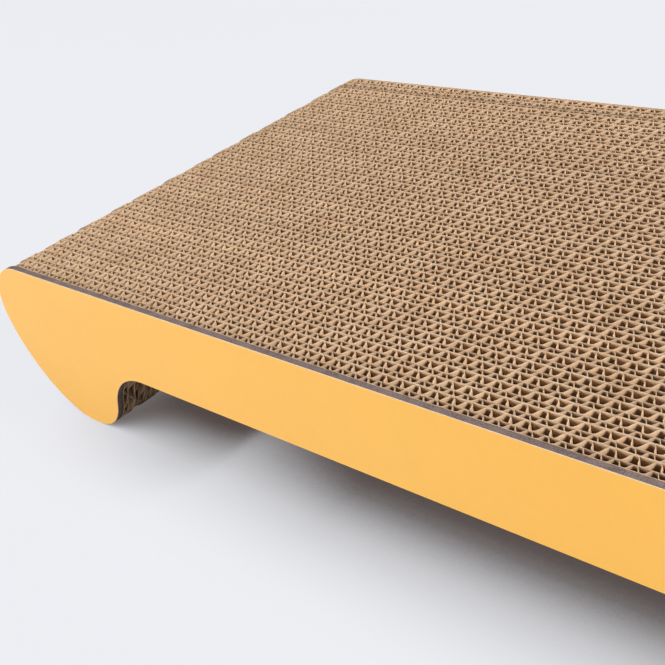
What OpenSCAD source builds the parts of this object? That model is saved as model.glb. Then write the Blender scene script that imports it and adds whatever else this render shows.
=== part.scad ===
// Corrugated cardboard scratcher, shown as it stands on its two feet.
// Boards stand on edge side by side, so that their flutes run up and down and open on the top.
// A printed chipboard panel closes the front and the back of the stack.
// The origin is at the middle of the footprint, +X along the length, +Y to the back, +Z up.

/* [Overall] */
// Length from the nose of one end of a panel to the nose of the other
length = 550; // [300:10:800]
// Height from the floor to the flat top
height = 75; // [64:1:110]

/* [Stack] */
// Number of double-wall boards side by side
board_count = 34; // [4:1:50]
// Thickness of one double-wall board
board_t = 6.75; // [5:0.25:9]
// How far the nose of a board in line stops short of the panels' nose
board_inset = 1.4; // [0:0.1:4]
// Farthest that a board sits out of line lengthwise
slip_max = 0.7; // [0:0.1:2]

/* [Panels] */
// Thickness of the grey chipboard in each panel
core_t = 2.8; // [1:0.1:5]
// Thickness of the printed paper on each panel
print_t = 0.3; // [0.1:0.05:0.6]
// How far the rear panel's top edge sits below the boards' top
rear_drop = 1.2; // [0:0.1:4]

/* [Ends] */
// Height of the nose above the floor
nose_z = 51; // [45:0.5:58]
// Distance from the panels' nose to the start of the foot's flat
sweep_x = 46.5; // [30:0.5:60]
// Power of the curve that sweeps in from the nose to the foot
sweep_power = 1.74; // [1.4:0.02:2.2]
// Length of the foot's flat on the floor
foot_flat = 5; // [4:0.5:20]

/* [Arch] */
// Height of the arch's flat underside above the floor
belly_z = 36.2; // [29:0.2:40]
// Radius of the foot's inner toe
toe_r = 24; // [14:0.5:26]
// Radius of the hollow between the foot and the arch
notch_r = 28; // [18:0.5:30]

/* [Hidden] */
// Facets of the curve from the nose to the foot
sweep_steps = 22;
// Facets of each round stretch
arc_steps = 12;
// Turn from one board to the next in the rule that sets how far each board slips
slip_turn = 137.5;

stack_d = board_count * board_t;
depth = stack_d + 2 * (core_t + print_t);
toe_x = sweep_x + foot_flat;
// The toe and the hollow touch, so the hollow's centre follows from the two radii.
hollow_z = belly_z - notch_r;
hollow_x = toe_x + sqrt(pow(toe_r + notch_r, 2) - pow(toe_r - hollow_z, 2));
// Slope of the line between the two centres, where the toe passes into the hollow
join_angle = atan2(hollow_z - toe_r, hollow_x - toe_x);

function board_name(k) = str("board_", k < 10 ? "0" : "", k);
function board_slip(k) = slip_max * sin(k * slip_turn);

// Points on an arc about (x, z) from angle a to angle b, without the first one if skip is 1
function arc(x, z, r, a, b, skip = 0) =
    [for (i = [skip:arc_steps]) let (t = a + (b - a) * i / arc_steps) [x + r * cos(t), z + r * sin(t)]];

// Quarter of a superellipse from the nose to the foot's flat, without its first point
function sweep(inset) =
    [for (i = [1:sweep_steps]) let (t = 90 * i / sweep_steps)
        [inset + (sweep_x - inset) * (1 - pow(cos(t), 2 / sweep_power)),
         nose_z * (1 - pow(sin(t), 2 / sweep_power))]];

// One end, from the flat top round the nose and the foot to the arch.
// The panels' nose is at x = 0, and inset draws the nose in.
function end_points(inset, top) = let (corner_r = top - nose_z) concat(
    arc(inset + corner_r, nose_z, corner_r, 90, 180),
    sweep(inset),
    arc(toe_x, toe_r, toe_r, -90, join_angle),
    arc(hollow_x, hollow_z, notch_r, 180 + join_angle, 90, 1)
);

// The cut outline of a board or panel, both ends alike
module outline(inset, top) {
    left = [for (p = end_points(inset, top)) [p[0] - length / 2, p[1]]];
    right = [for (i = [len(left) - 1:-1:0]) [-left[i][0], left[i][1]]];
    polygon(concat(left, right));
}

// A sheet of the outline's shape that fills y to y + t
module sheet(y, t, inset = 0, top = height) {
    translate([0, y + t, 0])
        rotate([90, 0, 0])
            linear_extrude(t)
                outline(inset, top);
}

// One double-wall board: three liners with a small and a large wave of paper between them
module board(k) {
    color("tan")
        translate([board_slip(k), 0, 0])
            sheet((k - 1) * board_t - stack_d / 2, board_t, board_inset);
}

module front_panel_core() {
    color("rosybrown")
        sheet(-stack_d / 2 - core_t, core_t);
}

module front_panel_print() {
    color("sandybrown")
        sheet(-depth / 2, print_t);
}

module rear_panel_core() {
    color("rosybrown")
        sheet(stack_d / 2, core_t, top = height - rear_drop);
}

module rear_panel_print() {
    color("sandybrown")
        sheet(depth / 2 - print_t, print_t, top = height - rear_drop);
}

for (k = [1:board_count]) {
    board(k);
}
front_panel_core();
front_panel_print();
rear_panel_core();
rear_panel_print();
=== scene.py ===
"""Dresses the cardboard scratcher: fluted boards, chipboard panels, printed papers and a pale stage.

Every length is in metres and every place is in the part's own frame: +X along the length, +Y to the
back, +Z up, with the floor at zero.
"""

import math

import bpy
import numpy as np
from mathutils import Matrix, Vector


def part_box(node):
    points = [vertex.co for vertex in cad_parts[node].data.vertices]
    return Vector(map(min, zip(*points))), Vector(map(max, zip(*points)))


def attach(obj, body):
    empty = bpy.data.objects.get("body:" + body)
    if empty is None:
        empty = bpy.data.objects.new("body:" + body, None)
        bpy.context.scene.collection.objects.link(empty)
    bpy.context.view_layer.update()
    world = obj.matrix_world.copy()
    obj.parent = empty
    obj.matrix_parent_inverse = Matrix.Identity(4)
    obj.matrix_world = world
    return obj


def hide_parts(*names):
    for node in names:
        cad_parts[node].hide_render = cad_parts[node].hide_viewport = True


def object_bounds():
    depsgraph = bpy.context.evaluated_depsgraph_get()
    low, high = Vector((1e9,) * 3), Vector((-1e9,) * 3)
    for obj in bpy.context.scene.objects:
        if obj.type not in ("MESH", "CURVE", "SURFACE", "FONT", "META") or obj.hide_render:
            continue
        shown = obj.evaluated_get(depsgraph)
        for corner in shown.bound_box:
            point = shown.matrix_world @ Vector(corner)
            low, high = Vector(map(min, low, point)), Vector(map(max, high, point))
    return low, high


bl_info = {
    "name": "Cardboard Scratcher",
    "version": (1, 0, 0),
    "blender": (4, 5, 0),
    "location": "View3D > Sidebar > Scratcher",
    "description": "Builds the papers, panels and stage of a corrugated cardboard scratcher",
    "category": "Object",
}

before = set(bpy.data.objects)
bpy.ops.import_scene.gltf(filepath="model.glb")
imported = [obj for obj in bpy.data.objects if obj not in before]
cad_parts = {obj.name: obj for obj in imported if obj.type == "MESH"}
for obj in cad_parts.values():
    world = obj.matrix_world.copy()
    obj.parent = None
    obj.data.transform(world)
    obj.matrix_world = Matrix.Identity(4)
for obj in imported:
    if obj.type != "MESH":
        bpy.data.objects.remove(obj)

MM = 0.001
TURN = 2 * math.pi
BODY = "root"
BOARDS = sorted(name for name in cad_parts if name.startswith("board_"))
PANELS = ("front_panel", "rear_panel")
CAD_BOX = [list(corner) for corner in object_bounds()]

# Step along x of the flat papers and of the panels, and points along one wave of each kind
FLAT_STEP = 3.0 * MM
SMALL_POINTS = 12
LARGE_POINTS = 14
# Each paper's look: how pale its cut edge is, and the tone of its faces, a painted shade that darkens the
# small flutes' papers and most the strip that stands in for a groove
PAPER_EDGE_AND_SHADE = {
    "outer_liner": (0.6, 1.0),
    "middle_liner": (0.1, 0.85),
    "small_wave": (0.3, 0.9),
    "large_wave": (0.4, 1.0),
    "groove_shade": (0.05, 0.25),
}
# Tone of a liner's glued face against its other one, a painted shade seen down the gap between two boards,
# and how far the boards differ in tone
GAP_FACE_SHADE = 0.4
TONE_SPREAD = 0.03
# Chance that a board comes off a new sheet, and starts of the random draws for sheets and for boards
NEW_SHEET_SHARE = 0.28
SHEET_SEED = 7
BOARD_SEED = 100
# Wavelengths along x of a cut edge's dips, of the gap between two boards, and of a wave's unevenness
CUT_LENGTHS = np.array([1.9, 3.1, 5.3, 11.0]) * MM
JOINT_LENGTHS = np.array([7.0, 13.0, 29.0]) * MM
PHASE_LENGTHS = np.array([23.0, 41.0, 97.0]) * MM
# Size of a wave's unevenness in radians, and mean and swing of the gap between two boards as shares
PHASE_WANDER = 0.35
JOINT_SHARE = 0.6
# Most that a bent edge takes of a paper's height, and how many bent edges high a paper is that dips fully
BENT_SHARE = 0.3
FULL_EDGES = 4
# How far in from the rim a printed paper's edge shows pale, as a share of the edge's radius
PALE_REACH = 0.6
# Scale of the blotches against that of the fibres
BLOTCH_SCALE = 0.09
# Each light: name, azimuth and elevation in degrees, width and height in metres
LAMPS = (
    ("key", 8, 33, 0.7, 0.7),
    ("side", 212, 30, 0.7, 0.7),
    ("front", 270, 8, 2.0, 0.6),
    ("rear", 90, 8, 2.0, 0.6),
)


# Settings

class PaperSizes(bpy.types.PropertyGroup):
    """Sizes of the papers in a board and of the panels' edges."""

    liner_t: bpy.props.FloatProperty(
        name="Liner", description="Thickness of a flat liner",
        default=0.19 * MM, min=0.1 * MM, max=0.6 * MM, precision=5, unit="LENGTH")
    flute_t: bpy.props.FloatProperty(
        name="Wave paper", description="Thickness of the paper of a wave",
        default=0.16 * MM, min=0.1 * MM, max=0.6 * MM, precision=5, unit="LENGTH")
    small_h: bpy.props.FloatProperty(
        name="Small wave", description="Height of the small wave, between the front and the middle liner",
        default=2.45 * MM, min=1.0 * MM, max=4.0 * MM, precision=5, unit="LENGTH")
    small_pitch: bpy.props.FloatProperty(
        name="Small pitch", description="Length of one small wave",
        default=6.0 * MM, min=4.0 * MM, max=9.0 * MM, precision=5, unit="LENGTH")
    large_pitch: bpy.props.FloatProperty(
        name="Large pitch", description="Length of one large wave",
        default=7.32 * MM, min=5.0 * MM, max=10.0 * MM, precision=5, unit="LENGTH")
    squareness: bpy.props.FloatProperty(
        name="Wave squareness",
        description="How square the waves are: 0.5 is nearly a sine, 3 is nearly a square wave",
        default=2.1, min=0.5, max=3.0)
    drift: bpy.props.FloatProperty(
        name="Drift", description="How far a wave starts from the board before, as a share of a wave",
        default=-0.1, min=-0.5, max=0.5)
    bent_h: bpy.props.FloatProperty(
        name="Bent edge", description="Height of the stretch at a cut edge that the die bends",
        default=1.5 * MM, min=0.3 * MM, max=4.0 * MM, precision=5, unit="LENGTH")
    bend: bpy.props.FloatProperty(
        name="Bend", description="How far a cut edge is bent aside",
        default=0.09 * MM, min=0.0, max=0.5 * MM, precision=5, unit="LENGTH")
    rag: bpy.props.FloatProperty(
        name="Ragged cut", description="How far a cut edge dips below the cutting line",
        default=0.22 * MM, min=0.0, max=1.0 * MM, precision=5, unit="LENGTH")
    swell: bpy.props.FloatProperty(
        name="Swollen cut", description="Thickness of a cut edge, as a share of the paper's thickness",
        default=1.0, min=1.0, max=2.5)
    joint_gap: bpy.props.FloatProperty(
        name="Joint", description="Gap at the cut edge between two boards, where the glue doesn't reach",
        default=0.12 * MM, min=0.0, max=1.0 * MM, precision=5, unit="LENGTH")
    joint_depth: bpy.props.FloatProperty(
        name="Joint depth", description="Depth at which the gap between two boards has closed to a third",
        default=0.9 * MM, min=0.2 * MM, max=5.0 * MM, precision=5, unit="LENGTH")
    # Width of a dark strip, a painted shade that stands in for a groove near the rear
    groove_shade_t: bpy.props.FloatProperty(
        name="Seam", description="Width of the dark glue line inside the last board but one",
        default=0.8 * MM, min=0.1 * MM, max=2.0 * MM, precision=5, unit="LENGTH")
    # Fading depths of the painted shade inside the small and the large flutes
    small_shade_depth: bpy.props.FloatProperty(
        name="Small fade",
        description="Depth at which the papers of the small flutes have faded to a third",
        default=2.0 * MM, min=0.5 * MM, max=20.0 * MM, precision=5, unit="LENGTH")
    large_shade_depth: bpy.props.FloatProperty(
        name="Large fade",
        description="Depth at which the papers of the large flutes have faded to a third",
        default=5.0 * MM, min=0.5 * MM, max=20.0 * MM, precision=5, unit="LENGTH")
    print_round: bpy.props.FloatProperty(
        name="Print edge", description="Radius of the printed paper's pressed edge",
        default=0.11 * MM, min=0.02 * MM, max=0.28 * MM, precision=5, unit="LENGTH")
    core_round: bpy.props.FloatProperty(
        name="Chipboard edge", description="Radius of the chipboard's cut edges",
        default=0.12 * MM, min=0.02 * MM, max=0.5 * MM, precision=5, unit="LENGTH")


class FinishColours(bpy.types.PropertyGroup):
    """Colours of the papers, the print and the stage, as linear values."""

    kraft: bpy.props.FloatVectorProperty(
        name="Kraft paper", description="Main colour of the board's papers",
        default=(0.62, 0.43, 0.27), min=0.0, max=1.0, subtype="COLOR")
    kraft_dark: bpy.props.FloatVectorProperty(
        name="Kraft fibres", description="Colour of the darker fibres in the board's papers",
        default=(0.50, 0.32, 0.185), min=0.0, max=1.0, subtype="COLOR")
    # Painted shade: the colour the papers darken to deep inside the flutes
    kraft_painted_shade: bpy.props.FloatVectorProperty(
        name="Kraft inside", description="Colour that the papers fade to deep in the flutes",
        default=(0.10, 0.045, 0.02), min=0.0, max=1.0, subtype="COLOR")
    cut: bpy.props.FloatVectorProperty(
        name="Cut edge", description="Colour of the papers' fresh cut edges",
        default=(0.76, 0.60, 0.44), min=0.0, max=1.0, subtype="COLOR")
    chipboard: bpy.props.FloatVectorProperty(
        name="Chipboard", description="Main colour of the grey chipboard",
        default=(0.112, 0.079, 0.073), min=0.0, max=1.0, subtype="COLOR")
    chipboard_fibre: bpy.props.FloatVectorProperty(
        name="Chipboard fibres", description="Colour of the pale fibres in the chipboard",
        default=(0.235, 0.17, 0.152), min=0.0, max=1.0, subtype="COLOR")
    ink: bpy.props.FloatVectorProperty(
        name="Print", description="Colour of the printed paper's face",
        default=(0.97, 0.50, 0.06), min=0.0, max=1.0, subtype="COLOR")
    white_paper: bpy.props.FloatVectorProperty(
        name="Print edge", description="Colour of the printed paper's pale cut edge",
        default=(0.66, 0.54, 0.42), min=0.0, max=1.0, subtype="COLOR")
    floor: bpy.props.FloatVectorProperty(
        name="Floor", description="Colour of the floor and of what lies behind it",
        default=(0.87, 0.88, 0.92), min=0.0, max=1.0, subtype="COLOR")
    # Colour of the floor's painted soft shadow at its darkest
    floor_shade: bpy.props.FloatVectorProperty(
        name="Floor shade", description="Colour of the floor in the darkest shade under the object",
        default=(0.085, 0.064, 0.058), min=0.0, max=1.0, subtype="COLOR")


class StageSettings(bpy.types.PropertyGroup):
    """Light levels, the floor's painted soft shadow, and the camera."""

    ambient: bpy.props.FloatProperty(
        name="Ambient", description="Strength of the even light from all sides",
        default=0.12, min=0.0, max=2.0)
    key: bpy.props.FloatProperty(
        name="Key", description="Power of the soft light at the object's right",
        default=125.0, min=0.0, max=500.0, unit="POWER")
    side: bpy.props.FloatProperty(
        name="Side", description="Power of the soft light at the front left",
        default=62.0, min=0.0, max=500.0, unit="POWER")
    front: bpy.props.FloatProperty(
        name="Front", description="Power of the long low light in front",
        default=31.0, min=0.0, max=500.0, unit="POWER")
    rear: bpy.props.FloatProperty(
        name="Rear", description="Power of the long low light behind",
        default=18.0, min=0.0, max=500.0, unit="POWER")
    # The floor's soft shadow is painted: an emission the camera sees, darkened by occlusion about a leaning
    # direction
    soft_share: bpy.props.FloatProperty(
        name="Soft shadow", description="How much of the floor's shade is the soft shadow of a leaning sky",
        default=0.9, min=0.0, max=1.0)
    soft_black: bpy.props.FloatProperty(
        name="Shadow core", description="Share of open sky at which the soft shadow is at its darkest",
        default=0.63, min=0.0, max=0.9)
    soft_power: bpy.props.FloatProperty(
        name="Shadow power", description="How gently the soft shadow starts at its rim: 1 is even",
        default=1.5, min=0.5, max=4.0)
    # A ramp along x weakens the painted soft shadow toward the left end
    soft_left: bpy.props.FloatProperty(
        name="Left shadow",
        description="Share of the soft shadow that the light from the left leaves at that end",
        default=0.15, min=0.0, max=1.0)
    soft_left_reach: bpy.props.FloatProperty(
        name="Left reach", description="Distance from the left end at which the soft shadow is whole",
        default=0.195, min=0.01, max=1.0, unit="LENGTH")
    bounce: bpy.props.FloatProperty(
        name="Floor bounce", description="How much of the light on the floor comes back from it",
        default=0.6, min=0.0, max=1.0)
    # Direction about which the painted soft shadow's occlusion is measured
    soft_lean: bpy.props.FloatVectorProperty(
        name="Shadow lean", description="Direction of the middle of the sky that casts the soft shadow",
        default=(-0.6, -0.35, 0.72), subtype="DIRECTION")
    soft_reach: bpy.props.FloatProperty(
        name="Shadow reach", description="How far the soft shadow reaches from what casts it",
        default=0.06, min=0.01, max=2.0, unit="LENGTH")
    lamp_reach: bpy.props.FloatProperty(
        name="Lamp distance", description="Distance of each light from the object's middle",
        default=3.0, min=1.0, max=10.0, unit="LENGTH")
    lens: bpy.props.FloatProperty(
        name="Lens", description="Focal length on a frame 36 mm wide, in millimetres",
        default=65.52, min=20.0, max=200.0, unit="CAMERA")
    roll: bpy.props.FloatProperty(
        name="Roll", description="Turn of the camera about its own axis",
        default=math.radians(13.74), min=-math.pi, max=math.pi, subtype="ANGLE")


# Reading the frame

def outline_of(name):
    """Lower and upper edge of a CAD node's outline, each as points (x, z) in order of x.

    The nose is the point that lies farthest out, and it parts the two edges.
    """
    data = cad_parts[name].data
    flat = np.empty(len(data.vertices) * 3, np.float32)
    data.vertices.foreach_get("co", flat)
    points = np.unique(np.round(flat.reshape(-1, 3)[:, [0, 2]].astype(float), 6), axis=0)
    nose_z = points[points[:, 0].argmin(), 1]
    near = 1e-5
    return points[points[:, 1] <= nose_z + near], points[points[:, 1] >= nose_z - near]


def stations(lower, upper, extra, inset=0.02 * MM, least=0.12 * MM):
    """Places along x: those of the outline's corners, and those in extra that aren't close to one.

    The first and last place stand inset from the ends, and least is the closest that an extra one comes.
    """
    ends = (lower[0, 0] + inset, lower[-1, 0] - inset)
    corners = np.clip(np.unique(np.concatenate([lower[:, 0], upper[:, 0]])), *ends)
    extra = extra[(extra > ends[0]) & (extra < ends[1])]
    gap = np.abs(extra[:, None] - corners[None, :]).min(axis=1)
    every = np.sort(np.concatenate([corners, extra[gap > least]]))
    return every[np.concatenate([[True], np.diff(every) > inset / 2])]


# Building meshes from whole arrays

def wander(x, rng, size, lengths):
    """A smooth random curve along x: the mean of sines of the given lengths, with random phases."""
    phase = rng.uniform(0, TURN, len(lengths))
    waves = np.sin(TURN * x[..., None] / np.asarray(lengths) + phase)
    return size * waves.mean(axis=-1)


def grid_quads(index):
    """Quads of a grid of vertex numbers: a cell goes round from (i, j) by way of (i + 1, j)."""
    corners = [index[:-1, :-1], index[1:, :-1], index[1:, 1:], index[:-1, 1:]]
    return np.stack(corners, axis=-1).reshape(-1, 4)


def slab(front, back):
    """A closed thin solid between two grids: points, quads, and a mask that is 1 on its four rims.

    The grids run along x and up z, and front has the lower y.
    """
    n, m, _ = front.shape
    points = np.concatenate([front.reshape(-1, 3), back.reshape(-1, 3)])
    a = np.arange(n * m).reshape(n, m)
    b = a + n * m
    faces = [grid_quads(a), grid_quads(b)[:, ::-1]]
    rims = [
        np.stack([a[:-1, -1], a[1:, -1], b[1:, -1], b[:-1, -1]], axis=-1),
        np.stack([b[:-1, 0], b[1:, 0], a[1:, 0], a[:-1, 0]], axis=-1),
        np.stack([b[0, :-1], a[0, :-1], a[0, 1:], b[0, 1:]], axis=-1),
        np.stack([a[-1, :-1], b[-1, :-1], b[-1, 1:], a[-1, 1:]], axis=-1),
    ]
    quads = np.concatenate(faces + rims)
    cut = np.zeros(len(quads))
    cut[sum(len(f) for f in faces):] = 1
    return points, quads, cut


def join_parts(parts):
    """Several parts as one, each a tuple of points, quads and further arrays, with the quads renumbered."""
    shift = np.cumsum([0] + [len(part[0]) for part in parts[:-1]])
    points, quads, *rest = zip(*parts)
    quads = [q + s for q, s in zip(quads, shift)]
    return [np.concatenate(arrays) for arrays in (points, quads, *rest)]


def make_piece(name, points, quads, masks, material, smooth=True):
    """A mesh object at the origin from arrays, with an attribute for each mask, by face or by point.

    smooth is one value for all faces, or one for each.
    """
    data = bpy.data.meshes.new(name)
    data.vertices.add(len(points))
    data.vertices.foreach_set("co", points.astype(np.float32).ravel())
    data.loops.add(quads.size)
    data.loops.foreach_set("vertex_index", quads.astype(np.int32).ravel())
    data.polygons.add(len(quads))
    data.polygons.foreach_set("loop_start", np.arange(0, quads.size, 4, dtype=np.int32))
    data.polygons.foreach_set("use_smooth", np.full(len(quads), smooth))
    for label, values in masks.items():
        layer = data.attributes.new(label, "FLOAT", "FACE" if len(values) == len(quads) else "POINT")
        layer.data.foreach_set("value", values.astype(np.float32))
    data.update(calc_edges=True)
    if data.validate():
        raise RuntimeError(f"{name} has faces that aren't valid")
    data.materials.append(material)
    piece = bpy.data.objects.new(name, data)
    bpy.context.scene.collection.objects.link(piece)
    return piece


def place_piece(piece, slot, *nodes):
    """The piece moves with the body and stands for the CAD nodes, which it hides. slot is not used."""
    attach(piece, BODY)
    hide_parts(*nodes)
    return piece


# Boards

def paper_sheet(x, y, thickness, lower, upper, sizes, rng, leaning):
    """One paper of a board: the line y(x) carried from the outline's lower edge up to its upper one.

    A point is (x, y(x) + bend, z), and the two faces stand half a thickness off along the line's normal.
    The four rows of z are the cut, the end of the bent stretch, and the same at the top. The cut rows are
    ragged, bent aside and swollen. leaning(x, depth) moves a row in y by its depth below the top.
    Besides slab's arrays it returns each point's distance below the upper edge and above the lower one.
    """
    low = np.interp(x, *lower.T)
    high = np.interp(x, *upper.T)
    height = high - low
    bent = np.minimum(sizes.bent_h, BENT_SHARE * height)
    room = np.minimum(1.0, height / (FULL_EDGES * sizes.bent_h))
    ragged = [room * (sizes.rag / 2 + wander(x, rng, sizes.rag / 2, CUT_LENGTHS)) for _ in range(2)]
    z = np.stack([low + ragged[0], low + bent, high - bent, high - ragged[1]], axis=1)
    aside = np.zeros_like(z)
    aside[:, 0] = wander(x, rng, sizes.bend, CUT_LENGTHS * 2)
    aside[:, 3] = wander(x, rng, sizes.bend, CUT_LENGTHS * 2)
    along = np.zeros_like(z)
    along[:, 3] = wander(x, rng, sizes.bend, CUT_LENGTHS * 3)
    below, above = high[:, None] - z, z - low[:, None]
    aside += leaning(x[:, None], below)
    slope = np.gradient(y, x)
    normal = np.stack([-slope, np.ones_like(x)], axis=1) / np.sqrt(1 + slope**2)[:, None]
    half = thickness / 2 * np.array([sizes.swell, 1, 1, sizes.swell])
    middle = np.stack([x[:, None] + along, y[:, None] + aside, z], axis=2)
    off = np.zeros_like(middle)
    off[:, :, :2] = normal[:, None, :] * half[None, :, None]
    return (*slab(middle - off, middle + off), np.tile(below.ravel(), 2), np.tile(above.ravel(), 2))


def wave_line(x, pitch, height, paper, turn, squareness, rng):
    """The line of a wave with round crests and steep flanks: tanh(k sin(phase)), scaled to reach 1.

    The phase starts at turn, a share of a full wave, and wanders a little along x as real corrugation does.
    """
    phase = TURN * (x / pitch + turn) + wander(x, rng, PHASE_WANDER, PHASE_LENGTHS)
    touch = 0.02 * MM
    reach = (height - paper) / 2 + touch
    return reach * np.tanh(squareness * np.sin(phase)) / math.tanh(squareness)


def wave_turns(drift, rng):
    """Where each board's small and large wave start, as shares of a wave.

    Boards come off one long web, so their waves drift by a steady step, until the next sheet starts anew.
    """
    def new_sheet():
        """A random start of both waves, and their step from board to board, normal about drift."""
        return rng.uniform(0, 1, 2), rng.normal(drift, abs(drift), 2)

    turns, step = new_sheet()
    every = []
    for _ in BOARDS:
        if rng.uniform() < NEW_SHEET_SHARE:
            turns, step = new_sheet()
        every.append(turns)
        turns = turns + step
    return every


def fluted_board(name, number, turns, material, sizes):
    """A double-wall board: front liner, small wave, middle liner, large wave, rear liner.

    The last board but one also has a dark strip behind its middle liner, a painted shade that stands in for
    a groove.
    """
    lower, upper = outline_of(name)
    low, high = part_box(name)
    rng = np.random.default_rng(BOARD_SEED + number)
    liner_t, flute_t, small_h = sizes.liner_t, sizes.flute_t, sizes.small_h
    small_pitch, large_pitch = sizes.small_pitch, sizes.large_pitch
    large_h = (high.y - low.y) - 3 * liner_t - small_h
    tone = rng.normal(1.0, TONE_SPREAD)

    def sheet(look, line, step, y0, thickness, fade, glued=0):
        """One paper along the line about y0, with a point at least every step, and the fading depth of its
        painted shade.

        A glued outer liner leans inwards at its edge by a gap that closes as exp(-depth / joint depth),
        and its glued face, seen only down that gap, is darker as painted shade: 1 for the front face, -1
        for the rear one.
        """
        pale, shade = PAPER_EDGE_AND_SHADE[look]

        def leaning(x, depth):
            """Half the uneven gap at x, which closes with depth."""
            gap = sizes.joint_gap / 2 * (JOINT_SHARE + wander(x, rng, JOINT_SHARE, JOINT_LENGTHS))
            return glued * gap * np.exp(-depth / sizes.joint_depth)

        places = stations(lower, upper, np.arange(low.x, high.x, step))
        points, quads, cut, below, above = paper_sheet(
            places, y0 + line(places), thickness, lower, upper, sizes, rng, leaning)
        # Each face's tone: the board's random tone times the paper's painted shade
        tone_and_shade = np.full(len(quads), tone * shade)
        broad = (len(quads) - int(cut.sum())) // 2
        # Painted shade on the glued face, which shows only down the gap between two boards
        if glued:
            first = 0 if glued > 0 else broad
            tone_and_shade[first:first + broad] *= GAP_FACE_SHADE
        # Depths over the fading depth, which drive the painted shade in the flutes
        return points, quads, cut * pale, tone_and_shade, below / fade, above / fade

    def flat(x):
        """The straight line of a liner."""
        return np.zeros_like(x)

    def small_wave(x):
        """The line of the small wave."""
        return wave_line(x, small_pitch, small_h, flute_t, turns[0], sizes.squareness, rng)

    def large_wave(x):
        """The line of the large wave."""
        return wave_line(x, large_pitch, large_h, flute_t, turns[1], sizes.squareness, rng)

    small_y = low.y + liner_t + small_h / 2
    middle_y = low.y + liner_t + small_h + liner_t / 2
    large_y = high.y - liner_t - large_h / 2
    # Fading depths of the painted shade in the small and the large flutes
    small, large = sizes.small_shade_depth, sizes.large_shade_depth
    parts = [
        sheet("outer_liner", flat, FLAT_STEP, low.y + liner_t / 2, liner_t, small, 1),
        sheet("middle_liner", flat, FLAT_STEP, middle_y, liner_t, small),
        sheet("outer_liner", flat, FLAT_STEP, high.y - liner_t / 2, liner_t, large, -1),
        sheet("small_wave", small_wave, small_pitch / SMALL_POINTS, small_y, flute_t, small),
        sheet("large_wave", large_wave, large_pitch / LARGE_POINTS, large_y, flute_t, large),
    ]
    # A dark strip, painted shade that stands in for the shade of a groove
    if number == len(BOARDS) - 1:
        groove_shade_y = middle_y + (liner_t + sizes.groove_shade_t) / 2
        parts.append(sheet("groove_shade", flat, FLAT_STEP, groove_shade_y, sizes.groove_shade_t, small))
    points, quads, cut, tone_and_shade, below, above = join_parts(parts)
    masks = {"cut": cut, "tone": tone_and_shade, "below": below, "above": above}
    piece = make_piece("fluted_" + name, points, quads, masks, material, cut == 0)
    return place_piece(piece, "kraft_board", name)


# Panels

def panel_rings(name, profile):
    """A flat panel: a profile carried round the node's outline, closed by a face at each end of it.

    The profile is a list of (share of the thickness from the front, distance in from the outline).
    Returns points, quads and, for each quad, the profile's step that it belongs to. Faces have step -1.
    """
    lower, upper = outline_of(name)
    low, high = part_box(name)
    x = stations(lower, upper, np.arange(low.x, high.x, FLAT_STEP))
    bottom = np.stack([x, np.interp(x, *lower.T)], axis=1)
    top = np.stack([x, np.interp(x, *upper.T)], axis=1)
    loop = np.concatenate([bottom, top[::-1]])
    along = np.roll(loop, -1, axis=0) - np.roll(loop, 1, axis=0)
    along /= np.linalg.norm(along, axis=1)[:, None]
    inward = np.stack([-along[:, 1], along[:, 0]], axis=1)
    rings = []
    for share, distance in profile:
        ring = loop + inward * distance
        y = np.full(len(loop), low.y + share * (high.y - low.y))
        rings.append(np.stack([ring[:, 0], y, ring[:, 1]], axis=1))
    n, m = len(loop), len(profile)
    index = np.arange(n * m).reshape(m, n)
    closed = np.concatenate([index, index[:, :1]], axis=1)
    around = grid_quads(closed.T)[:, ::-1]
    step = np.tile(np.arange(m - 1), n)
    half = n // 2

    def face(ring):
        """Quads between a ring's lower points and the upper ones above them."""
        up = ring[half:][::-1]
        return np.stack([ring[:half - 1], ring[1:half], up[1:], up[:-1]], axis=1)

    quads = np.concatenate([around, face(index[0]), face(index[-1])[:, ::-1]])
    step = np.concatenate([step, np.full(2 * (half - 1), -1)])
    return np.concatenate(rings), quads, step


def rounded_profile(radius, depth, inner, both):
    """Profile of a panel's edge: a quarter circle at the front face, and at the rear one if both."""
    turn = np.radians([0, 30, 60, 90])
    arc = [(radius * (1 - np.cos(t)) / depth, radius * (1 - np.sin(t))) for t in turn]
    rear = [(1 - s, d) for s, d in arc[::-1]] if both else [(1.0, 0.0)]
    return [(0.0, inner)] + arc + rear + ([(1.0, inner)] if both else [])


# Materials

def add_node(tree, kind, links=(), **values):
    """A node of the kind with its settings or inputs set, and links as (input, output socket) pairs."""
    made = tree.nodes.new(kind)
    for key, value in values.items():
        if hasattr(made, key):
            setattr(made, key, value)
    for key, value in values.items():
        if not hasattr(made, key):
            made.inputs[key.replace("_", " ")].default_value = value
    for key, source in links:
        tree.links.new(source, made.inputs[key])
    return made


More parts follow.
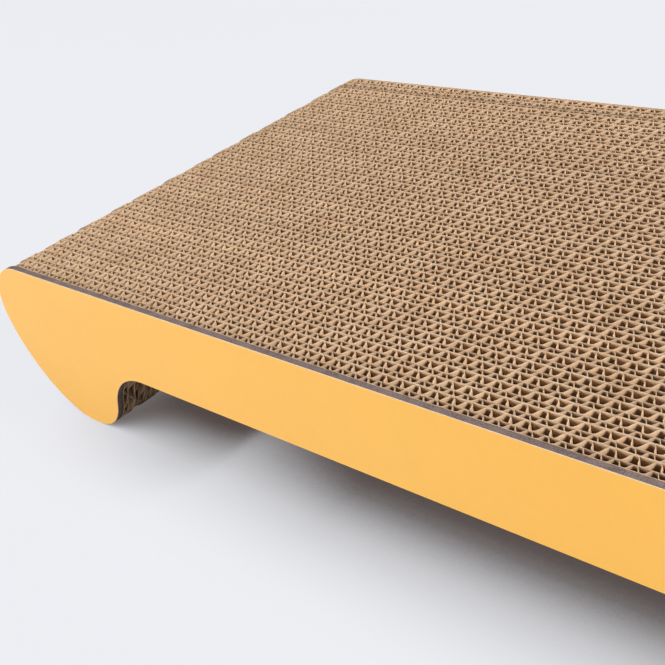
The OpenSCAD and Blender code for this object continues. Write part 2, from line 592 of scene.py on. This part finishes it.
def mottle_group():
    """A shader group: two colours mixed by fine fibres, with a mask and a height for bump."""
    tree = bpy.data.node_groups.new("Fibre Mottle", "ShaderNodeTree")
    sockets = (
        ("Main", "INPUT", "NodeSocketColor", (0.5, 0.5, 0.5, 1)),
        ("Fibres", "INPUT", "NodeSocketColor", (0.3, 0.3, 0.3, 1)),
        ("Scale", "INPUT", "NodeSocketFloat", 900.0),
        ("Contrast", "INPUT", "NodeSocketFloat", 1.0),
        ("Blotches", "INPUT", "NodeSocketFloat", 1.0),
        ("Colour", "OUTPUT", "NodeSocketColor", None),
        ("Mask", "OUTPUT", "NodeSocketFloat", None),
        ("Height", "OUTPUT", "NodeSocketFloat", None),
    )
    for label, way, kind, value in sockets:
        socket = tree.interface.new_socket(label, in_out=way, socket_type=kind)
        if value is not None:
            socket.default_value = value
    inside = tree.nodes.new("NodeGroupInput").outputs
    place = add_node(tree, "ShaderNodeTexCoord").outputs["Object"]
    fine = add_node(tree, "ShaderNodeTexNoise", [("Vector", place), ("Scale", inside["Scale"])],
                    Detail=4.0, Roughness=0.65)
    wide_scale = add_node(tree, "ShaderNodeMath", [(0, inside["Scale"])], operation="MULTIPLY")
    wide_scale.inputs[1].default_value = BLOTCH_SCALE
    wide = add_node(tree, "ShaderNodeTexNoise", [("Vector", place), ("Scale", wide_scale.outputs[0])],
                    Detail=3.0, Roughness=0.5)
    centred = []
    for noise in (fine, wide):
        middle = add_node(tree, "ShaderNodeMath", [(0, noise.outputs["Fac"])], operation="SUBTRACT")
        middle.inputs[1].default_value = 0.5
        centred.append(middle.outputs[0])
    both = add_node(tree, "ShaderNodeMath", [(0, centred[1]), (1, inside["Blotches"]), (2, centred[0])],
                    operation="MULTIPLY_ADD")
    scaled = add_node(tree, "ShaderNodeMath", [(0, both.outputs[0]), (1, inside["Contrast"])],
                      operation="MULTIPLY")
    mask = add_node(tree, "ShaderNodeMath", [(0, scaled.outputs[0])], operation="ADD", use_clamp=True)
    mask.inputs[1].default_value = 0.5
    mix = add_node(tree, "ShaderNodeMix", data_type="RGBA")
    tree.links.new(mask.outputs[0], mix.inputs["Factor"])
    tree.links.new(inside["Fibres"], mix.inputs[6])
    tree.links.new(inside["Main"], mix.inputs[7])
    out = tree.nodes.new("NodeGroupOutput")
    tree.links.new(mix.outputs[2], out.inputs["Colour"])
    tree.links.new(mask.outputs[0], out.inputs["Mask"])
    tree.links.new(fine.outputs["Fac"], out.inputs["Height"])
    return tree


def new_material(name):
    """A material with an empty tree, and its shader already linked to the output."""
    material = bpy.data.materials.new(name)
    material.use_nodes = True
    tree = material.node_tree
    tree.nodes.clear()
    shader = tree.nodes.new("ShaderNodeBsdfPrincipled")
    output = tree.nodes.new("ShaderNodeOutputMaterial")
    tree.links.new(shader.outputs[0], output.inputs[0])
    return material, tree, shader


def mottle(tree, main, fibres, scale, contrast, blotches=1.0):
    """The fibre group placed in a material with its own values."""
    group = bpy.data.node_groups.get("Fibre Mottle") or mottle_group()
    made = tree.nodes.new("ShaderNodeGroup")
    made.node_tree = group
    made.inputs["Main"].default_value = (*main, 1)
    made.inputs["Fibres"].default_value = (*fibres, 1)
    made.inputs["Scale"].default_value = scale
    made.inputs["Contrast"].default_value = contrast
    made.inputs["Blotches"].default_value = blotches
    return made.outputs


def mix_colours(tree, factor, a, b, blend="MIX"):
    """A colour mix of a and b by factor, each a socket or a constant."""
    made = add_node(tree, "ShaderNodeMix", data_type="RGBA", blend_type=blend)
    for socket, value in ((made.inputs["Factor"], factor), (made.inputs[6], a), (made.inputs[7], b)):
        if isinstance(value, bpy.types.NodeSocket):
            tree.links.new(value, socket)
        else:
            socket.default_value = value
    return made.outputs[2]


def bump(tree, shader, height, distance, strength=1.0):
    """Drives the shader's normal by a height."""
    made = add_node(tree, "ShaderNodeBump", [("Height", height)], Strength=strength, Distance=distance)
    tree.links.new(made.outputs[0], shader.inputs["Normal"])


def mesh_value(tree, label):
    """The value of a mesh attribute, given by face or by point."""
    return add_node(tree, "ShaderNodeAttribute", attribute_name=label).outputs["Fac"]


def flute_shade_mask(tree):
    """Mask of the painted shade in the flutes: 1 at a cut edge, falling inside them as exp(-depth / fading
    depth).
    """
    below, above = mesh_value(tree, "below"), mesh_value(tree, "above")
    depth = add_node(tree, "ShaderNodeMath", [(0, below), (1, above)], operation="MINIMUM")
    minus = add_node(tree, "ShaderNodeMath", [(0, depth.outputs[0])], operation="MULTIPLY")
    minus.inputs[1].default_value = -1.0
    return add_node(tree, "ShaderNodeMath", [(0, minus.outputs[0])], operation="EXPONENT").outputs[0]


def kraft_material(colours):
    """Brown unbleached paper: fibres, a tone for each board times its papers' painted shade, painted shade
    deeper inside, and torn pale cut edges.
    """
    material, tree, shader = new_material("kraft_paper")
    paper = mottle(tree, colours.kraft, colours.kraft_dark, scale=700.0, contrast=1.6)
    # The tone attribute holds each board's random tone times its papers' painted shade
    toned = mix_colours(tree, 1.0, paper["Colour"], mesh_value(tree, "tone"), "MULTIPLY")
    # Painted shade: deeper in the flutes the papers darken to the deep kraft colour
    shaded = mix_colours(tree, flute_shade_mask(tree), (*colours.kraft_painted_shade, 1), toned)
    edge = mottle(tree, colours.cut, colours.kraft, scale=450.0, contrast=3.5)
    colour = mix_colours(tree, mesh_value(tree, "cut"), shaded, edge["Colour"])
    tree.links.new(colour, shader.inputs["Base Color"])
    shader.inputs["Roughness"].default_value = 0.85
    shader.inputs["Specular IOR Level"].default_value = 0.25
    bump(tree, shader, paper["Height"], distance=0.05 * MM)
    return material


def chipboard_material(colours):
    """Grey recycled board with pale and dark fibres."""
    material, tree, shader = new_material("grey_chipboard")
    board = mottle(tree, colours.chipboard_fibre, colours.chipboard, scale=1800.0, contrast=5.0,
                   blotches=0.35)
    tree.links.new(board["Colour"], shader.inputs["Base Color"])
    shader.inputs["Roughness"].default_value = 0.9
    shader.inputs["Specular IOR Level"].default_value = 0.2
    bump(tree, shader, board["Height"], distance=0.12 * MM)
    return material


def print_material(colours):
    """Orange printed paper with a satin face and a pale cut edge."""
    material, tree, shader = new_material("orange_print")
    thin_ink = 0.93
    darker = [c * thin_ink for c in colours.ink]
    face = mottle(tree, colours.ink, darker, scale=420.0, contrast=0.8)
    colour = mix_colours(tree, mesh_value(tree, "cut"), face["Colour"], (*colours.white_paper, 1))
    tree.links.new(colour, shader.inputs["Base Color"])
    shader.inputs["Roughness"].default_value = 0.42
    shader.inputs["Sheen Weight"].default_value = 0.25
    bump(tree, shader, face["Height"], distance=0.01 * MM)
    return material


def floor_material(colours, stage):
    """Pale floor. The camera sees the lamps' shadows mixed with a painted soft shadow, an emission of the
    floor's colour.

    The painted shadow is (share of the view hidden about a leaning direction / its darkest value, weaker at
    the left end by a ramp) to a power.
    """
    material, tree, shader = new_material("pale_floor")
    shader.inputs["Base Color"].default_value = (*[c * stage.bounce for c in colours.floor], 1)
    shader.inputs["Roughness"].default_value = 0.7
    shader.inputs["Specular IOR Level"].default_value = 0.2
    lean = add_node(tree, "ShaderNodeCombineXYZ", **dict(zip("XYZ", stage.soft_lean)))
    sky = add_node(tree, "ShaderNodeAmbientOcclusion", [("Normal", lean.outputs[0])],
                   Distance=stage.soft_reach, samples=48)
    hidden = add_node(tree, "ShaderNodeMath", [(1, sky.outputs["AO"])], operation="SUBTRACT")
    hidden.inputs[0].default_value = 1.0
    scaled = add_node(tree, "ShaderNodeMath", [(0, hidden.outputs[0])], operation="DIVIDE")
    scaled.inputs[1].default_value = 1.0 - stage.soft_black
    place = add_node(tree, "ShaderNodeTexCoord").outputs["Object"]
    along = add_node(tree, "ShaderNodeSeparateXYZ", [("Vector", place)]).outputs["X"]
    # A ramp along x that weakens the painted shadow toward the left end
    left = add_node(tree, "ShaderNodeMapRange", [("Value", along)])
    left.inputs["From Min"].default_value = CAD_BOX[0][0]
    left.inputs["From Max"].default_value = CAD_BOX[0][0] + stage.soft_left_reach
    left.inputs["To Min"].default_value = stage.soft_left
    closed = add_node(tree, "ShaderNodeMath", [(0, scaled.outputs[0]), (1, left.outputs[0])],
                      operation="MULTIPLY", use_clamp=True)
    shade = add_node(tree, "ShaderNodeMath", [(0, closed.outputs[0])], operation="POWER")
    shade.inputs[1].default_value = stage.soft_power
    shown = mix_colours(tree, shade.outputs[0], (*colours.floor, 1), (*colours.floor_shade, 1))
    # The painted soft shadow, shown as emission to camera rays only
    painted_shadow_glow = add_node(tree, "ShaderNodeEmission", [("Color", shown)])
    camera_ray = tree.nodes.new("ShaderNodeLightPath").outputs["Is Camera Ray"]
    seen = add_node(tree, "ShaderNodeMath", [(0, camera_ray)], operation="MULTIPLY")
    seen.inputs[1].default_value = stage.soft_share
    mix = add_node(tree, "ShaderNodeMixShader",
                   [(0, seen.outputs[0]), (1, shader.outputs[0]), (2, painted_shadow_glow.outputs[0])])
    tree.links.new(mix.outputs[0], tree.nodes["Material Output"].inputs[0])
    return material


# Operators

class SCRATCHER_OT_stage(bpy.types.Operator):
    """Builds the floor, the lights, the world and the camera."""

    bl_idname = "scratcher.stage"
    bl_label = "Stage"

    def execute(self, context):
        """Makes each part of the stage and sets the scene's camera."""
        colours = context.scene.scratcher_colours
        stage = context.scene.scratcher_stage
        self.make_floor(colours, stage)
        self.make_world(context.scene, stage, colours)
        for name, azimuth, elevation, width, height in LAMPS:
            self.make_lamp(name, getattr(stage, name), stage.lamp_reach, azimuth, elevation, width, height)
        self.make_camera(context.scene, stage)
        context.scene.view_settings.view_transform = "Standard"
        return {"FINISHED"}

    def make_floor(self, colours, stage):
        """A wide square plate whose top is at zero height."""
        reach = 15.0
        corners = [(-reach, -reach, 0), (reach, -reach, 0), (reach, reach, 0), (-reach, reach, 0)]
        data = bpy.data.meshes.new("floor")
        data.from_pydata(corners, [], [(0, 1, 2, 3)])
        data.materials.append(floor_material(colours, stage))
        floor = bpy.data.objects.new("floor", data)
        bpy.context.scene.collection.objects.link(floor)

    def make_world(self, scene, stage, colours):
        """Even light from all sides, which shows as the floor's colour to the camera."""
        world = bpy.data.worlds.new("studio")
        world.use_nodes = True
        tree = world.node_tree
        tree.nodes.clear()
        path = tree.nodes.new("ShaderNodeLightPath").outputs["Is Camera Ray"]
        daylight = (0.96, 0.98, 1.0, 1)
        light = add_node(tree, "ShaderNodeBackground", Color=daylight, Strength=stage.ambient)
        shown = add_node(tree, "ShaderNodeBackground", Color=(*colours.floor, 1), Strength=1.0)
        mix = add_node(tree, "ShaderNodeMixShader",
                       [(0, path), (1, light.outputs[0]), (2, shown.outputs[0])])
        add_node(tree, "ShaderNodeOutputWorld", [("Surface", mix.outputs[0])])
        scene.world = world

    def make_lamp(self, name, power, reach, azimuth, elevation, width, height):
        """A rectangular soft light aimed at the origin, with its azimuth and elevation in degrees."""
        data = bpy.data.lights.new(name, "AREA")
        data.energy = power
        data.shape = "RECTANGLE"
        data.size = width
        data.size_y = height
        turn, rise = math.radians(azimuth), math.radians(elevation)
        away = Vector((math.cos(rise) * math.cos(turn), math.cos(rise) * math.sin(turn), math.sin(rise)))
        lamp = bpy.data.objects.new(name, data)
        lamp.location = away * reach
        lamp.rotation_euler = (-away).to_track_quat("-Z", "Y").to_euler()
        lamp.visible_camera = False
        bpy.context.scene.collection.objects.link(lamp)

    def make_camera(self, scene, stage):
        """The photograph's view: a place, a direction, and a roll about it."""
        place = Vector((0.22111, -0.33624, 0.28607))
        ahead = Vector((-0.67310, 0.55580, -0.48788)).normalized()
        level = ahead.cross(Vector((0, 0, 1))).normalized()
        upright = level.cross(ahead)
        right = level * math.cos(stage.roll) - upright * math.sin(stage.roll)
        up = upright * math.cos(stage.roll) + level * math.sin(stage.roll)
        data = bpy.data.cameras.new("camera")
        data.lens = stage.lens
        data.sensor_width = 36.0
        data.clip_start = 0.01
        camera = bpy.data.objects.new("camera", data)
        turn = Matrix((right, up, -ahead)).transposed().to_4x4()
        camera.matrix_world = Matrix.Translation(place) @ turn
        scene.collection.objects.link(camera)
        scene.camera = camera


class SCRATCHER_OT_boards(bpy.types.Operator):
    """Builds every corrugated board from its five papers."""

    bl_idname = "scratcher.boards"
    bl_label = "Corrugated Boards"

    def execute(self, context):
        """Makes one piece for each board of the frame."""
        material = kraft_material(context.scene.scratcher_colours)
        sizes = context.scene.scratcher_sizes
        turns = wave_turns(sizes.drift, np.random.default_rng(SHEET_SEED))
        for number, name in enumerate(BOARDS, start=1):
            fluted_board(name, number, turns[number - 1], material, sizes)
        return {"FINISHED"}


class SCRATCHER_OT_panel_cores(bpy.types.Operator):
    """Builds the chipboard cores of the two panels."""

    bl_idname = "scratcher.panel_cores"
    bl_label = "Chipboard Cores"

    def execute(self, context):
        """Makes one piece for each core of the frame."""
        sizes = context.scene.scratcher_sizes
        material = chipboard_material(context.scene.scratcher_colours)
        for panel in PANELS:
            name = panel + "_core"
            low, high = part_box(name)
            radius = sizes.core_round
            profile = rounded_profile(radius, high.y - low.y, inner=3 * radius, both=True)
            points, quads, _ = panel_rings(name, profile)
            piece = make_piece("chipboard_" + panel, points, quads, {}, material)
            place_piece(piece, "grey_chipboard", name)
        return {"FINISHED"}


class SCRATCHER_OT_panel_prints(bpy.types.Operator):
    """Builds the printed papers of the two panels."""

    bl_idname = "scratcher.panel_prints"
    bl_label = "Printed Papers"

    def execute(self, context):
        """Makes one piece for each printed paper, with its cut edge marked."""
        sizes = context.scene.scratcher_sizes
        material = print_material(context.scene.scratcher_colours)
        for panel in PANELS:
            name = panel + "_print"
            low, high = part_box(name)
            radius = sizes.print_round
            profile = rounded_profile(radius, high.y - low.y, inner=4 * radius, both=False)
            if panel == "rear_panel":
                profile = [(1 - share, distance) for share, distance in profile[::-1]]
            points, quads, step = panel_rings(name, profile)
            outer = [distance < PALE_REACH * radius for _, distance in profile]
            # The last entry is that of the faces, whose step is -1
            rim = np.array([a and b for a, b in zip(outer, outer[1:])] + [False])
            cut = rim[step].astype(float)
            piece = make_piece("printed_" + panel, points, quads, {"cut": cut}, material)
            place_piece(piece, "orange_print", name)
        return {"FINISHED"}


class SCRATCHER_PT_sidebar(bpy.types.Panel):
    """Lists the builders and their settings."""

    bl_label = "Scratcher"
    bl_idname = "SCRATCHER_PT_sidebar"
    bl_space_type = "VIEW_3D"
    bl_region_type = "UI"
    bl_category = "Scratcher"

    def draw(self, context):
        """One button for each builder, then every setting."""
        column = self.layout.column()
        for operator in OPERATORS:
            column.operator(operator.bl_idname)
        scene = context.scene
        for group in (scene.scratcher_sizes, scene.scratcher_colours, scene.scratcher_stage):
            for label in group.__annotations__:
                column.prop(group, label)


OPERATORS = (SCRATCHER_OT_stage, SCRATCHER_OT_boards, SCRATCHER_OT_panel_cores, SCRATCHER_OT_panel_prints)
CLASSES = (PaperSizes, FinishColours, StageSettings, *OPERATORS, SCRATCHER_PT_sidebar)


def register():
    """Registers the classes and hangs their settings on the scene."""
    for each in CLASSES:
        bpy.utils.register_class(each)
    bpy.types.Scene.scratcher_sizes = bpy.props.PointerProperty(type=PaperSizes)
    bpy.types.Scene.scratcher_colours = bpy.props.PointerProperty(type=FinishColours)
    bpy.types.Scene.scratcher_stage = bpy.props.PointerProperty(type=StageSettings)


def unregister():
    """Takes off the settings and the classes."""
    del bpy.types.Scene.scratcher_stage
    del bpy.types.Scene.scratcher_colours
    del bpy.types.Scene.scratcher_sizes
    for each in reversed(CLASSES):
        bpy.utils.unregister_class(each)


def main():
    """Builds the stage and every piece."""
    register()
    bpy.ops.scratcher.stage()
    bpy.ops.scratcher.boards()
    bpy.ops.scratcher.panel_cores()
    bpy.ops.scratcher.panel_prints()
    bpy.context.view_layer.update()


if __name__ == "__main__":
    main()
